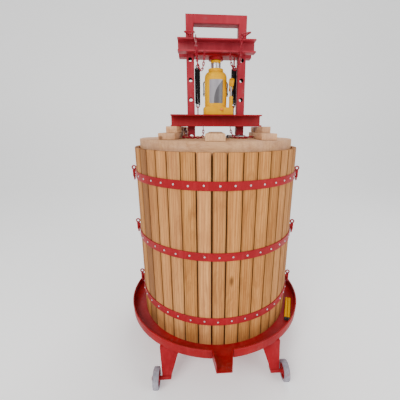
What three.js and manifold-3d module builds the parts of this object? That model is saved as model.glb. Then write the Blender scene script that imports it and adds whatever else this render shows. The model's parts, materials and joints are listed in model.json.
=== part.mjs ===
// Basket wine press with a hydraulic bottle jack, in millimetres, +Z up, standing on Z = 0.
// The press axis is at X = 0, Y = AXIS_Y, so the middle of the whole press is over the origin.
// The spout, the wheels and the jack's label are on the -Y side, which is the front.
import * as THREE from "three";
import { mergeVertices } from "three/addons/utils/BufferGeometryUtils.js";
import Module from "manifold-3d";

const wasm = await Module();
wasm.setup();

// ---- Driving dimensions -------------------------------------------------------------------
const GAP = 0.3; // clearance between pieces that rest on each other
const AXIS_Y = 36;
const FLOOR = 30; // heights below are measured from 30 mm under the floor

const TRAY = { radius: 519, floor: 216, sheet: 4, rim: 262, wall: 513, bead: 3 };
const SPOUT = { root: -505, end: -591, rootHalf: 52.1, endHalf: 37 };
const LEG = { top: 211.7, sheet: 5, flange: 35, inner: 206, outer: 308, footInner: 249, footOuter: 294 };
const FRONT_LEG = { topY: -428, bottomY: -482, bottomZ: 88 };
const REAR_LEG = { topY: 428, bottomY: 505, bottomZ: FLOOR + 3 };
const WHEEL = { radius: 50, width: 30, centreX: 322, centreY: -484, centreZ: FLOOR + 50, bore: 9.3 };
const AXLE = { radius: 9, inner: 250, outer: 345 };
const BASE_BEAM = { halfLength: 230, bottom: 152, web: 6, flange: 7 };

const BASKET = { outer: 440, inner: 421, bottom: 216.3, top: 1172.4, staves: 42, gap: 5.6, turn: -4.5 };
const HOOP = { centres: [1033.5, 705.5, 357.3], height: 40, inner: 440.7, outer: 444.7, bite: 1.5 };
const LATCH = { radius: 474, barrel: 9, bore: 5.8, pin: 5.5, ring: 11, wire: 3 };

const DISC = { radius: 411, top: 1215.2, thickness: 60, turn: -4.5 };
const SLOT = { inner: 98, outer: 168, halfDepth: 50 };
const BATTEN_HEIGHT = 30.3;
const BLOCK_HEIGHT = 29.7;

const YOKE = { inner: 113, outer: 153, halfDepth: 30, wall: 5, top: 1805, bar: 40 };
const HOLE = { radius: 10, first: 1698, pitch: 95, count: 10 };
const CHANNEL = { height: 60, reach: 50, web: 6, flange: 7, backGap: 30.3 };
const LOWER_BEAM = { bottom: 1276.3, halfLength: 240, eye: 71 };
const CROSSHEAD = { bottom: 1628, halfLength: 193, eye: 63 };
const EYE = { radius: 6, wire: 1.75 };
const PLATE = { halfLength: 94.7, halfDepth: 50, thickness: 8, boss: 38, bossHeight: 13.7 };

const JACK = { base: 1336.6, baseTop: 1373, halfBase: 66, body: 59, shoulder: 1519, neck: 39.5 };
const JACK_TOP = { neckBottom: 1549, top: 1565.5, ram: 26.3, bore: 26.8, ramTop: 1592, saddle: 1605.7 };
const PUMP = { x: 77, y: -45, radius: 10, bore: 5, rod: 4, top: 1430, pinZ: 1469, rodBottom: 1401 };
const LEVER = { pivotY: -20, pivotZ: 1460, cheek: 3, cheekGap: 5.5, pin: 3, tilt: 35 };
const SPRING = { x: 96.5, radius: 15, bottom: 1394, top: 1568 };
const LOOSE_PIN = { radius: 8, length: 112 };
const UPPER_PIN = { x: 133, z: 1698, front: -80, back: 40, radius: 9 };
const HANDLE = { length: 45, halfWidth: 22, rod: 7 };
const CHAIN_RADIUS = 4;
const JACK_ROD = { radius: 8, spacing: 17 };

// ---- Materials ----------------------------------------------------------------------------
function finish(color, roughness, metalness) {
  return new THREE.MeshStandardMaterial({ color, roughness, metalness });
}
const RED = finish(0xb02a2e, 0.4, 0.1);
const OAK = finish(0xcda57a, 0.65, 0);
const PALE_OAK = finish(0xd4b08c, 0.7, 0);
const YELLOW = finish(0xf0be28, 0.35, 0.1);
const STEEL = finish(0xc8c4c8, 0.3, 0.9);
const BLACK = finish(0x1c1c20, 0.5, 0.3);
const TYRE = finish(0xafaabe, 0.8, 0);
const ORANGE = finish(0xe8662c, 0.4, 0);

// ---- Solid helpers ------------------------------------------------------------------------
function solidOf(geometry) {
  const bare = geometry.clone();
  bare.deleteAttribute("normal");
  bare.deleteAttribute("uv");
  const merged = mergeVertices(bare, 1e-4);
  const corners = merged.index.array;
  const kept = [];
  for (let i = 0; i < corners.length; i += 3) {
    const [a, b, c] = corners.slice(i, i + 3);
    if (a !== b && b !== c && c !== a) kept.push(a, b, c);
  }
  const vertProperties = new Float32Array(merged.attributes.position.array);
  const triVerts = new Uint32Array(kept);
  return new wasm.Manifold(new wasm.Mesh({ numProp: 3, vertProperties, triVerts }));
}

function geometryOf(solid) {
  const mesh = solid.getMesh();
  const geometry = new THREE.BufferGeometry();
  geometry.setAttribute("position", new THREE.BufferAttribute(mesh.vertProperties, 3));
  geometry.setIndex(new THREE.BufferAttribute(mesh.triVerts, 1));
  geometry.computeVertexNormals();
  return geometry;
}

function join(...geometries) {
  return geometryOf(geometries.map(solidOf).reduce((sum, next) => sum.add(next)));
}

function cut(geometry, ...tools) {
  return geometryOf(tools.map(solidOf).reduce((rest, tool) => rest.subtract(tool), solidOf(geometry)));
}

function box(x0, x1, y0, y1, z0, z1) {
  const geometry = new THREE.BoxGeometry(Math.abs(x1 - x0), y1 - y0, z1 - z0);
  return geometry.translate((x0 + x1) / 2, (y0 + y1) / 2, (z0 + z1) / 2);
}

// A round bar between two points.
function bar(radius, from, to, sides = 16) {
  const start = new THREE.Vector3(...from);
  const along = new THREE.Vector3(...to).sub(start);
  const geometry = new THREE.CylinderGeometry(radius, radius, along.length(), sides);
  const direction = along.clone().normalize();
  const turn = new THREE.Quaternion().setFromUnitVectors(new THREE.Vector3(0, 1, 0), direction);
  return geometry.applyQuaternion(turn).translate(...start.addScaledVector(along, 0.5).toArray());
}

// A ring of round wire in the plane across the given axis.
function wireRing(radius, wire, centre, axis, sides = 10) {
  const geometry = new THREE.TorusGeometry(radius, wire, 5, sides);
  const direction = new THREE.Vector3(...axis);
  const turn = new THREE.Quaternion().setFromUnitVectors(new THREE.Vector3(0, 0, 1), direction);
  return geometry.applyQuaternion(turn).translate(...centre);
}

// A flat outline in X and Y, raised between two heights.
function slab(points, z0, z1) {
  const outline = new THREE.Shape(points.map(([x, y]) => new THREE.Vector2(x, y)));
  const geometry = new THREE.ExtrudeGeometry(outline, { depth: z1 - z0, bevelEnabled: false });
  return geometry.translate(0, 0, z0);
}

// A turned shape about the vertical axis, from [radius, height] points.
function turned(points, sides) {
  const profile = points.map(([r, z]) => new THREE.Vector2(r, z));
  return new THREE.LatheGeometry(profile, sides).rotateX(Math.PI / 2);
}

// A four-sided solid between a lower and an upper rectangle: [x0, x1, y0, y1, z].
function tapered(lower, upper) {
  const geometry = new THREE.BoxGeometry(1, 1, 1);
  const position = geometry.attributes.position;
  for (let i = 0; i < position.count; i += 1) {
    const [x0, x1, y0, y1, z] = position.getZ(i) < 0 ? lower : upper;
    position.setXYZ(i, position.getX(i) < 0 ? x0 : x1, position.getY(i) < 0 ? y0 : y1, z);
  }
  return geometry;
}

function tube(radius, points, steps, sides = 8) {
  const section = new THREE.Shape();
  for (let i = 0; i < sides; i += 1) {
    const a = (i / sides) * 2 * Math.PI;
    if (i === 0) section.moveTo(radius, 0);
    else section.lineTo(radius * Math.cos(a), radius * Math.sin(a));
  }
  const extrudePath = new THREE.CatmullRomCurve3(points.map((p) => new THREE.Vector3(...p)));
  return new THREE.ExtrudeGeometry(section, { steps, extrudePath, bevelEnabled: false });
}

function mirrored(geometry, side) {
  if (side > 0) return geometry;
  const flat = geometry.index ? geometry.toNonIndexed() : geometry.clone();
  flat.scale(-1, 1, 1);
  const position = flat.attributes.position;
  const corner = new THREE.Vector3();
  const other = new THREE.Vector3();
  for (let i = 0; i < position.count; i += 3) {
    corner.fromBufferAttribute(position, i + 1);
    other.fromBufferAttribute(position, i + 2);
    position.setXYZ(i + 1, ...other.toArray());
    position.setXYZ(i + 2, ...corner.toArray());
  }
  return flat;
}

const press = new THREE.Group();
press.position.set(0, AXIS_Y, -FLOOR);

function place(name, geometry, material, parent = press) {
  const mesh = new THREE.Mesh(geometry, material);
  mesh.name = name;
  parent.add(mesh);
  return mesh;
}

const SIDES = [["left", -1], ["right", 1]];

// A point at a radius and an angle from the front, turning towards +X.
function around(radius, degrees) {
  const a = THREE.MathUtils.degToRad(degrees);
  return [radius * Math.sin(a), -radius * Math.cos(a)];
}

function ringSector(inner, outer, from, to, steps, z0, z1) {
  const outward = [];
  const back = [];
  for (let i = 0; i <= steps; i += 1) {
    const a = from + ((to - from) * i) / steps;
    outward.push(around(outer, a));
    back.unshift(around(inner, a));
  }
  return slab([...outward, ...back], z0, z1);
}

// ---- Tray with its spout ------------------------------------------------------------------
function makeTray() {
  const { radius, floor, sheet, rim, wall, bead } = TRAY;
  const under = floor - sheet;
  const beadZ = rim - bead;
  const beadR = radius - bead;
  const profile = [
    [0, under], [wall + 2, under], [wall + sheet, under + 2], [wall + sheet, beadZ - bead],
    [radius, beadZ], [beadR + 0.7 * bead, rim - 0.3 * bead], [beadR, rim],
    [beadR - 0.7 * bead, rim - 0.3 * bead],
    [beadR - bead, beadZ], [wall, beadZ - bead], [wall, floor], [0, floor],
  ];
  const { root, end, rootHalf, endHalf } = SPOUT;
  const channel = slab([[-rootHalf, root], [-endHalf, end], [endHalf, end], [rootHalf, root]], under, rim);
  const slope = (rootHalf - endHalf) / (root - end);
  const reach = 8;
  const rootInner = rootHalf - sheet + slope * reach;
  const endInner = endHalf - sheet - slope * reach;
  const hollow = slab(
    [
      [-rootInner, root + reach], [-endInner, end - reach],
      [endInner, end - reach], [rootInner, root + reach],
    ],
    floor,
    rim + reach,
  );
  return cut(join(turned(profile, 60), channel), hollow);
}
place("tray", makeTray(), RED);

// ---- Legs, axles and wheels ---------------------------------------------------------------
function foldedLeg({ topY, bottomY, bottomZ }) {
  const toBack = topY < 0 ? 1 : -1;
  const span = (y, depth) => [Math.min(y, y + toBack * depth), Math.max(y, y + toBack * depth)];
  const face = tapered(
    [LEG.footInner, LEG.footOuter, ...span(bottomY, LEG.sheet), bottomZ],
    [LEG.inner, LEG.outer, ...span(topY, LEG.sheet), LEG.top],
  );
  const innerFlange = tapered(
    [LEG.footInner, LEG.footInner + LEG.sheet, ...span(bottomY, LEG.flange), bottomZ],
    [LEG.inner, LEG.inner + LEG.sheet, ...span(topY, LEG.flange), LEG.top],
  );
  const outerFlange = tapered(
    [LEG.footOuter - LEG.sheet, LEG.footOuter, ...span(bottomY, LEG.flange), bottomZ],
    [LEG.outer - LEG.sheet, LEG.outer, ...span(topY, LEG.flange), LEG.top],
  );
  const pad = box(LEG.inner, LEG.outer, ...span(topY, LEG.flange + 12), LEG.top - LEG.sheet, LEG.top);
  return join(face, innerFlange, outerFlange, pad);
}

function makeFrontLeg() {
  const axle = bar(AXLE.radius, [AXLE.inner, WHEEL.centreY, WHEEL.centreZ],
    [AXLE.outer, WHEEL.centreY, WHEEL.centreZ], 24);
  const lugX = [LEG.footInner + 0.5, LEG.footOuter - LEG.sheet];
  const lugs = lugX.map((x) => box(x, x + LEG.sheet, WHEEL.centreY + 2, WHEEL.centreY + LEG.flange,
    WHEEL.centreZ - AXLE.radius, FRONT_LEG.bottomZ + 2));
  return join(foldedLeg(FRONT_LEG), axle, ...lugs);
}

function makeRearLeg() {
  const foot = box(LEG.footInner - 10, LEG.footOuter + 10, 455, 515, FLOOR, FLOOR + 6);
  return join(foldedLeg(REAR_LEG), foot);
}

function makeWheel() {
  const { radius, width, bore } = WHEEL;
  const half = width / 2;
  const profile = [
    [bore, -half], [15, -half], [17, -half + 6], [34, -half + 6], [37, -half], [radius - 3, -half],
    [radius, -half + 3], [radius, half - 3], [radius - 3, half], [37, half], [34, half - 6],
    [17, half - 6], [15, half], [bore, half], [bore, -half],
  ];
  return turned(profile, 24).rotateY(Math.PI / 2);
}

for (const [name, side] of SIDES) {
  place(`leg_front_${name}`, mirrored(makeFrontLeg(), side), RED);
  place(`leg_rear_${name}`, mirrored(makeRearLeg(), side), RED);
  const wheel = place(`wheel_${name}`, makeWheel(), TYRE);
  wheel.position.set(side * WHEEL.centreX, WHEEL.centreY, WHEEL.centreZ);
}

// ---- Base beam under the tray, which takes the pull of the yoke -----------------------------
function channelPiece(halfLength, bottom, facing) {
  const { height, reach, web, flange, backGap } = CHANNEL;
  const span = (from, to) => [Math.min(facing * from, facing * to), Math.max(facing * from, facing * to)];
  const whole = box(-halfLength, halfLength, ...span(backGap, backGap + reach), bottom, bottom + height);
  const hollow = box(-halfLength - 1, halfLength + 1, ...span(backGap + web, backGap + reach + 1),
    bottom + flange, bottom + height - flange);
  return cut(whole, hollow);
}

function makeBaseBeam() {
  const { halfLength, bottom } = BASE_BEAM;
  const top = TRAY.floor - TRAY.sheet - GAP;
  const tie = (x) => box(x - 20, x + 20, -CHANNEL.backGap - 1, CHANNEL.backGap + 1, bottom, top);
  return join(channelPiece(halfLength, bottom - GAP, 1), channelPiece(halfLength, bottom - GAP, -1),
    tie(-YOKE.inner - 20), tie(YOKE.inner + 20));
}
place("base_beam", makeBaseBeam(), RED);

// ---- Yoke ----------------------------------------------------------------------------------
function makeYoke() {
  const { inner, outer, halfDepth, wall, top, bar: barHeight } = YOKE;
  const foot = TRAY.floor + GAP;
  const whole = box(-outer, outer, -halfDepth, halfDepth, foot, top);
  const tools = [box(-inner, inner, -halfDepth - 1, halfDepth + 1, foot - 1, top - barHeight)];
  for (const side of [-1, 1]) {
    tools.push(box(side * (inner + wall), side * (outer - wall), -halfDepth + wall, halfDepth - wall,
      foot - 1, top - wall));
    for (let i = 0; i < HOLE.count; i += 1) {
      const z = HOLE.first - i * HOLE.pitch;
      const x = (side * (inner + outer)) / 2;
      tools.push(bar(HOLE.radius, [x, -halfDepth - 1, z], [x, halfDepth + 1, z], 12));
    }
  }
  tools.push(box(-inner - wall - 1, inner + wall + 1, -halfDepth + wall, halfDepth - wall,
    top - barHeight + wall, top - wall));
  return cut(whole, ...tools);
}
place("yoke", makeYoke(), RED);

// ---- Channels of the crosshead and of the lower beam ------------------------------------------
function makeChannel({ bottom, halfLength, eye }, facing) {
  const channel = channelPiece(halfLength, bottom, facing);
  if (facing > 0) return channel;
  const eyeY = facing * (CHANNEL.backGap + CHANNEL.reach + EYE.radius - EYE.wire);
  const eyes = [-eye, eye].map((x) => wireRing(EYE.radius, EYE.wire, [x, eyeY, bottom + 3], [1, 0, 0], 8));
  return join(channel, ...eyes);
}
for (const [name, facing] of [["front", -1], ["rear", 1]]) {
  place(`upper_channel_${name}`, makeChannel(CROSSHEAD, facing), RED);
  place(`lower_channel_${name}`, makeChannel(LOWER_BEAM, facing), RED);
}

// The pressure plate under the crosshead, with its boss, end blocks and the hooks of the springs.
function makePressurePlate() {
  const top = CROSSHEAD.bottom - GAP;
  const under = top - PLATE.thickness;
  const hookZ = 1578.5;
  const pieces = [
    box(-PLATE.halfLength, PLATE.halfLength, -PLATE.halfDepth, PLATE.halfDepth, under, top),
    bar(PLATE.boss, [0, 0, under - PLATE.bossHeight], [0, 0, under + 1], 28),
  ];
  for (const side of [-1, 1]) {
    const x = side * SPRING.x;
    pieces.push(box(side * (PLATE.halfLength - 2), side * (YOKE.inner - GAP),
      -YOKE.halfDepth, YOKE.halfDepth, under, CROSSHEAD.bottom + CHANNEL.height));
    for (const y of [-9, 9]) pieces.push(box(x - 2.5, x + 2.5, y - 2.5, y + 2.5, hookZ - 2.5, under + 1));
    pieces.push(box(x - 2.5, x + 2.5, -9, 9, hookZ - 2.5, hookZ + 2.5));
  }
  return join(...pieces);
}
place("pressure_plate", makePressurePlate(), RED);

// Blocks between the lower channels, each with an upright tab for the spring's lower ring.
function makeLowerSpacer(side) {
  const top = LOWER_BEAM.bottom + CHANNEL.height;
  const x = side * SPRING.x;
  const block = box(x - 11, x + 11, -YOKE.halfDepth, YOKE.halfDepth, LOWER_BEAM.bottom + 8, top);
  const tab = box(x - 3, x + 3, -14, 14, top - 1, 1386);
  const hole = bar(5, [x - 5, 0, 1376], [x + 5, 0, 1376], 12);
  return cut(join(block, tab), hole);
}

// The solid that a return spring fills, with its end rings.
function makeSpring(side) {
  const x = side * SPRING.x;
  const coil = bar(SPRING.radius, [x, 0, SPRING.bottom], [x, 0, SPRING.top], 16);
  const lowerRing = wireRing(9, 2, [x, 0, SPRING.bottom - 10], [0, 1, 0]);
  const upperRing = wireRing(7.5, 2, [x, 0, SPRING.top + 9], [0, 1, 0]);
  return join(coil, lowerRing, upperRing);
}
for (const [name, side] of SIDES) {
  place(`lower_spacer_${name}`, makeLowerSpacer(side), RED);
  place(`return_spring_${name}`, makeSpring(side), BLACK);
}

// ---- Bottle jack ---------------------------------------------------------------------------
function makeJackBase() {
  const { base, baseTop, halfBase } = JACK;
  const chamfer = 12;
  const lobe = PUMP.x + 12;
  const outline = [
    [-halfBase, -halfBase + chamfer], [-halfBase + chamfer, -halfBase], [lobe - 6, -halfBase],
    [lobe, -halfBase + 6], [lobe, LEVER.pivotY + 12], [halfBase, LEVER.pivotY + 12],
    [halfBase, halfBase - chamfer], [halfBase - chamfer, halfBase], [-halfBase + chamfer, halfBase],
    [-halfBase, halfBase - chamfer],
  ];
  const post = box(PUMP.x - 4, PUMP.x + 4, LEVER.pivotY - 7, LEVER.pivotY + 7,
    baseTop - 1, LEVER.pivotZ + 7);
  const pivot = bar(LEVER.pin + GAP, [PUMP.x - 6, LEVER.pivotY, LEVER.pivotZ],
    [PUMP.x + 6, LEVER.pivotY, LEVER.pivotZ]);
  return cut(join(slab(outline, base, baseTop), post), pivot);
}

function makeJackBody() {
  const { body, shoulder, neck } = JACK;
  const { neckBottom, top, bore } = JACK_TOP;
  const bottom = JACK.baseTop + GAP;
  const profile = [[0, bottom], [body, bottom], [body, shoulder]];
  const steps = 5;
  for (let i = 1; i <= steps; i += 1) {
    const a = (i / steps) * (Math.PI / 2);
    profile.push([neck + (body - neck) * Math.cos(a), shoulder + (neckBottom - shoulder) * Math.sin(a)]);
  }
  profile.push([neck, top - 3], [neck - 3, top], [bore, top], [bore, bottom + 11], [0, bottom + 11]);
  return turned(profile, 28);
}

function makePumpPiston() {
  const rodTop = PUMP.pinZ - 8;
  const rod = bar(PUMP.rod, [PUMP.x, PUMP.y, PUMP.rodBottom], [PUMP.x, PUMP.y, rodTop]);
  const tongue = box(PUMP.x - 4, PUMP.x + 4, PUMP.y - 7, PUMP.y + 7, rodTop - 1, PUMP.pinZ + 7);
  const hole = bar(5.2, [PUMP.x - 6, PUMP.y, PUMP.pinZ], [PUMP.x + 6, PUMP.y, PUMP.pinZ]);
  return cut(join(rod, tongue), hole);
}

// The lever: a fork on the fulcrum post and the piston, with the open tube for the jack's rod.
function makeHandleSocket() {
  const tilt = THREE.MathUtils.degToRad(LEVER.tilt);
  const along = (d) => [PUMP.x, PUMP.y - 2 - d * Math.sin(tilt), 1483 + d * Math.cos(tilt)];
  const pieces = [bar(13.5, along(0), along(30), 20)];
  const profile = [
    [LEVER.pivotY + 6, LEVER.pivotZ - 5], [LEVER.pivotY + 6, LEVER.pivotZ + 4],
    [PUMP.y + 12, 1492], [PUMP.y - 14, 1488], [PUMP.y - 8, PUMP.pinZ - 6], [PUMP.y + 6, PUMP.pinZ - 8],
  ];
  for (const side of [-1, 1]) {
    const cheek = slab(profile, 0, LEVER.cheek).rotateX(Math.PI / 2).rotateZ(Math.PI / 2);
    const x = side > 0 ? PUMP.x + LEVER.cheekGap : PUMP.x - LEVER.cheekGap - LEVER.cheek;
    pieces.push(cheek.translate(x, 0, 0));
  }
  const reach = LEVER.cheekGap + LEVER.cheek;
  for (const [y, z] of [[LEVER.pivotY, LEVER.pivotZ], [PUMP.y, PUMP.pinZ]]) {
    pieces.push(bar(LEVER.pin, [PUMP.x - reach, y, z], [PUMP.x + reach, y, z]));
  }
  return cut(join(...pieces), bar(10, along(6), along(40), 20));
}

function makeCarryHandle() {
  const x = JACK.body + GAP + 3.2;
  const points = [
    [-x, 6, 1432], [-x, 6, 1470], [-x, 10, 1500], [-x + 12, 40, 1512], [-24, 66, 1514],
    [24, 66, 1514], [x - 12, 40, 1512], [x, 10, 1500], [x, 6, 1470], [x, 6, 1432],
  ];
  return tube(3.2, points, 26);
}

place("jack_base", makeJackBase(), YELLOW);
place("jack_body", makeJackBody(), YELLOW);
place("jack_ram", bar(JACK_TOP.ram, [0, 0, 1385], [0, 0, JACK_TOP.ramTop], 28), STEEL);
place("jack_saddle", bar(JACK_TOP.ram, [0, 0, JACK_TOP.ramTop + GAP], [0, 0, JACK_TOP.saddle], 28), YELLOW);
place("pump_cylinder", cut(
  bar(PUMP.radius, [PUMP.x, PUMP.y, JACK.baseTop + GAP], [PUMP.x, PUMP.y, PUMP.top], 20),
  bar(PUMP.bore, [PUMP.x, PUMP.y, JACK.baseTop + 8], [PUMP.x, PUMP.y, PUMP.top + 1]),
), YELLOW);
place("pump_piston", makePumpPiston(), STEEL);
place("handle_socket", makeHandleSocket(), YELLOW);
place("carry_handle", makeCarryHandle(), BLACK);
const valveStem = bar(6, [26, -JACK.halfBase - 14, 1362], [26, -JACK.halfBase - GAP, 1362], 12);
place("release_valve", valveStem, ORANGE);

// ---- Press disc, battens and blocks, a loose stack turned a little on the press ----------------
const stack = new THREE.Group();
stack.rotation.z = THREE.MathUtils.degToRad(DISC.turn);
press.add(stack);

function makeDiscHalf(front) {
  const { radius, top, thickness } = DISC;
  const z0 = top - thickness;
  const whole = bar(radius, [0, 0, z0], [0, 0, top], 72);
  const slots = [-1, 1].map((side) => box(side * SLOT.inner, side * SLOT.outer, -SLOT.halfDepth,
    SLOT.halfDepth, z0 - 1, top + 1));
  const other = front ? [-GAP / 2, radius + 1] : [-radius - 1, GAP / 2];
  return cut(whole, ...slots, box(-radius - 1, radius + 1, ...other, z0 - 1, top + 1));
}
place("press_disc_front", makeDiscHalf(true), PALE_OAK, stack);
place("press_disc_rear", makeDiscHalf(false), PALE_OAK, stack);

const BATTENS = {
  batten_left_front: [-264, -186, -275, 85],
  batten_left_rear: [-264, -186, 125, 320],
  batten_centre: [-42, 42, -405, 400],
  batten_right: [210, 280, -290, 187],
};
const BLOCKS = {
  block_left_front: [-236, -183, -223, 84],
  block_left_rear: [-236, -183, 127, 320],
  block_right_front: [222, 262, -223, 120],
  block_right_rear: [222, 262, 145, 185],
};
const battenBottom = DISC.top + GAP;
const blockBottom = battenBottom + BATTEN_HEIGHT;
for (const [name, [x0, x1, y0, y1]] of Object.entries(BATTENS)) {
  place(name, box(x0, x1, y0, y1, battenBottom, blockBottom - GAP), PALE_OAK, stack);
}
for (const [name, [x0, x1, y0, y1]] of Object.entries(BLOCKS)) {
  place(name, box(x0, x1, y0, y1, blockBottom, blockBottom + BLOCK_HEIGHT), PALE_OAK, stack);
}

// ---- Pins with bent-rod handles, and their chains -----------------------------------------------
// A pin lies along -Y from its tip at the origin; the three-sided handle is at the far end.
function makePin(radius, length) {
  const { length: reach, halfWidth, rod } = HANDLE;
  const front = -length;
  const outer = new THREE.Shape([
    new THREE.Vector2(-5, front + 4), new THREE.Vector2(-halfWidth - 3, front - reach),
    new THREE.Vector2(halfWidth + 3, front - reach), new THREE.Vector2(5, front + 4),
  ]);
  outer.holes.push(new THREE.Path([
    new THREE.Vector2(0, front - 10), new THREE.Vector2(halfWidth - 6, front - reach + rod),
    new THREE.Vector2(-halfWidth + 6, front - reach + rod),
  ]));
  const handle = new THREE.ExtrudeGeometry(outer, { depth: rod, bevelEnabled: false });
  handle.translate(0, 0, -rod / 2);
  return join(bar(radius, [0, 0, 0], [0, front, 0]), handle);
}

const upperPinLength = UPPER_PIN.back - UPPER_PIN.front;
for (const [name, side] of SIDES) {
  const pin = place(`upper_pin_${name}`, makePin(UPPER_PIN.radius, upperPinLength), RED);
  pin.position.set(side * UPPER_PIN.x, UPPER_PIN.back, UPPER_PIN.z);
  if (side > 0) pin.rotation.y = THREE.MathUtils.degToRad(-12);
}

// The two spare pins lie on the disc: tip, then the end that carries the handle.
const LOOSE_PINS = {
  lower_pin_left: [[-170, 42, 1263], [-160, -68, 1232]],
  lower_pin_right: [[60, -24, 1223.8], [152, -88, 1223.8]],
};
for (const [name, [tip, end]] of Object.entries(LOOSE_PINS)) {
  const along = new THREE.Vector3(...end).sub(new THREE.Vector3(...tip)).normalize();
  const across = new THREE.Vector3(0, 0, 1).cross(along).normalize().negate();
  const back = along.clone().negate();
  const turn = new THREE.Matrix4().makeBasis(across, back, across.clone().cross(along).negate());
  const pin = place(name, makePin(LOOSE_PIN.radius, LOOSE_PIN.length), STEEL);
  pin.quaternion.setFromRotationMatrix(turn);
  pin.position.set(...tip);
}

const CHAINS = {
  upper_chain_left: [
    [-63, -84, 1621], [-65, -86, 1590], [-71, -87, 1555], [-81, -88, 1544], [-92, -88, 1558],
    [-100, -89, 1595], [-103, -90, 1640], [-104, -91, 1690],
  ],
  upper_chain_right: [
    [63, -84, 1621], [67, -86, 1590], [77, -87, 1558], [89, -88, 1549], [103, -88, 1562],
    [114, -89, 1594], [118, -90, 1636], [117, -91, 1678],
  ],
  lower_chain_left: [
    [-71, -84, 1271], [-71, -85, 1248], [-74, -88, 1228], [-86, -96, 1220.5], [-104, -106, 1220],
    [-128, -112, 1220],
  ],
  lower_chain_right: [
    [71, -84, 1271], [76, -86, 1250], [86, -92, 1230], [102, -104, 1220.5], [126, -118, 1220],
    [150, -124, 1220],
  ],
};
for (const [name, points] of Object.entries(CHAINS)) {
  place(name, tube(CHAIN_RADIUS, points, 16), RED);
}

// ---- Basket: two halves of staves, held by hoops and by pins through their knuckles --------------
const stavePitch = 360 / BASKET.staves;
const staveHalf = stavePitch / 2 - THREE.MathUtils.radToDeg(BASKET.gap / 2 / BASKET.outer);
const perHalf = BASKET.staves / 2;
const HALVES = [["front", 0], ["rear", 180]];
const basket = new THREE.Group();
basket.rotation.z = THREE.MathUtils.degToRad(BASKET.turn);
press.add(basket);

function makeStaves(middle) {
  const staves = [];
  for (let i = 0; i < perHalf; i += 1) {
    const a = middle + (i - (perHalf - 1) / 2) * stavePitch;
    const { inner, outer, bottom, top } = BASKET;
    staves.push(ringSector(inner, outer, a - staveHalf, a + staveHalf, 1, bottom, top));
  }
  return staves;
}

// The front half's knuckle is above the rear half's, so the front half lifts off on its own.
function makeKnuckles(half, centre) {
  const isFront = half === "front";
  const [z0, z1] = isFront ? [centre - 18, centre - 1] : [centre - 40, centre - 18.5];
  const [y0, y1] = isFront ? [-11, -5] : [5, 11];
  const pieces = [];
  for (const side of [-1, 1]) {
    const x = side * LATCH.radius;
    pieces.push(box(side * (HOOP.inner + 0.6), x, y0, y1, z0, z1));
    pieces.push(bar(LATCH.barrel, [x, 0, z0], [x, 0, z1], 12));
    if (!isFront) {
      const doublerTop = centre + HOOP.height / 2;
      pieces.push(box(side * (HOOP.inner + 0.6), side * (HOOP.outer + 1.5), 4, 40, z0, doublerTop));
    }
  }
  return pieces;
}

function makeHoop(half, middle, centre, inner) {
  const trim = THREE.MathUtils.radToDeg(3 / HOOP.outer);
  const band = ringSector(inner, HOOP.outer, middle - 90 + trim, middle + 90 - trim, perHalf,
    centre - HOOP.height / 2, centre + HOOP.height / 2);
  return [band, ...makeKnuckles(half, centre)];
}

function pinBores(centre) {
  return [-1, 1].map((side) => bar(LATCH.bore, [side * LATCH.radius, 0, centre - 50],
    [side * LATCH.radius, 0, centre + 10]));
}

const [TOP_HOOP, MIDDLE_HOOP, BOTTOM_HOOP] = HOOP.centres;
for (const [half, middle] of HALVES) {
  place(`basket_${half}`, cut(
    join(...makeStaves(middle), ...makeHoop(half, middle, MIDDLE_HOOP, HOOP.inner - HOOP.bite)),
    ...pinBores(MIDDLE_HOOP),
  ), OAK, basket);
  for (const [level, centre] of [["top", TOP_HOOP], ["bottom", BOTTOM_HOOP]]) {
    const hoop = join(...makeHoop(half, middle, centre, HOOP.inner));
    place(`hoop_${level}_${half}`, cut(hoop, ...pinBores(centre)), RED, basket);
  }
}

function makeLatchPin(x, centre) {
  const shank = bar(LATCH.pin, [x, 0, centre - 60], [x, 0, centre + 1], 10);
  const collar = bar(LATCH.barrel - 1, [x, 0, centre - 0.7], [x, 0, centre + 1.5], 10);
  const ring = wireRing(LATCH.ring, LATCH.wire, [x, 0, centre + 13.3], [0, 1, 0], 10);
  return join(shank, collar, ring);
}
for (const [level, centre] of [["top", TOP_HOOP], ["middle", MIDDLE_HOOP], ["bottom", BOTTOM_HOOP]]) {
  for (const [name, side] of SIDES) {
    place(`latch_pin_${level}_${name}`, makeLatchPin(side * LATCH.radius, centre), RED, basket);
  }
}

// ---- The jack's two-piece pumping rod, lying in the tray -------------------------------------------
const rodFront = new THREE.Vector3(396, -304, TRAY.floor + GAP + JACK_ROD.radius);
const rodBack = new THREE.Vector3(469, -117, TRAY.floor + GAP + JACK_ROD.radius);
const rodSide = rodBack.clone().sub(rodFront).cross(new THREE.Vector3(0, 0, 1)).normalize();
for (const [name, step] of [["outer", 0], ["inner", -1]]) {
  const shift = rodSide.clone().multiplyScalar(step * JACK_ROD.spacing);
  const ends = [rodFront, rodBack].map((p) => p.clone().add(shift).toArray());
  place(`jack_rod_${name}`, bar(JACK_ROD.radius, ...ends, 12), YELLOW);
}

export default press;
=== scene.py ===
"""A basket wine press with a bottle jack: the looks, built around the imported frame.

Lengths are in metres. "Press coordinates" have their vertical axis on the press axis, which is
AXIS_Y behind the row's origin, and their heights start FLOOR under the floor. Every Shape is made
in them and moved once, in piece().
"""
import json
import random
from math import asin, copysign, cos, hypot, pi, radians, sin, sqrt
from types import SimpleNamespace

import bmesh
import bpy
from mathutils import Matrix, Vector


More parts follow.
